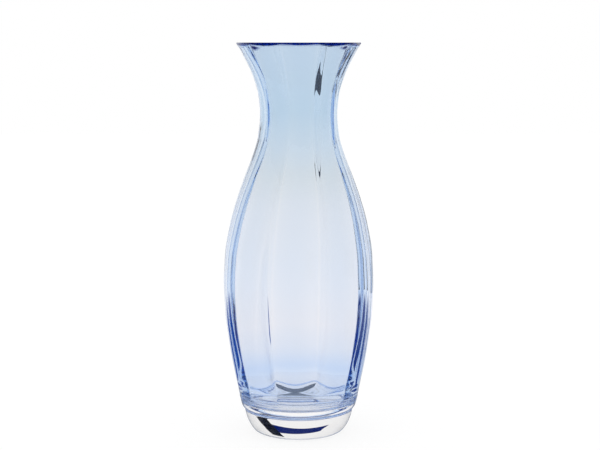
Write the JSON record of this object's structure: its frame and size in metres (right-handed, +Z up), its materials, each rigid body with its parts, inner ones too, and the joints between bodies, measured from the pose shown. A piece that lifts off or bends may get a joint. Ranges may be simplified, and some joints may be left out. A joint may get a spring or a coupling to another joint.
{
  "type": "cut crystal vase",
  "caption": "Tall blue-tinted glass vase with a rounded belly, narrow neck and flared lip, soft upright facets inside, and a thick clear base with a groove.",
  "frame": {"origin": "on the vase's axis, at the height of the face it stands on", "axes": "+Z up along the axis, towards the lip; -Y faces the viewer, with a facet turned towards it"},
  "size_m": [0.0964, 0.0964, 0.25],
  "materials": {
    "blue_glass": "polished, transparent, pale blue",
    "clear_crystal": "polished, transparent, colourless"
  },
  "bodies": {
    "root": {"vessel": "blue_glass", "base": "clear_crystal"}
  },
  "joints": []
}
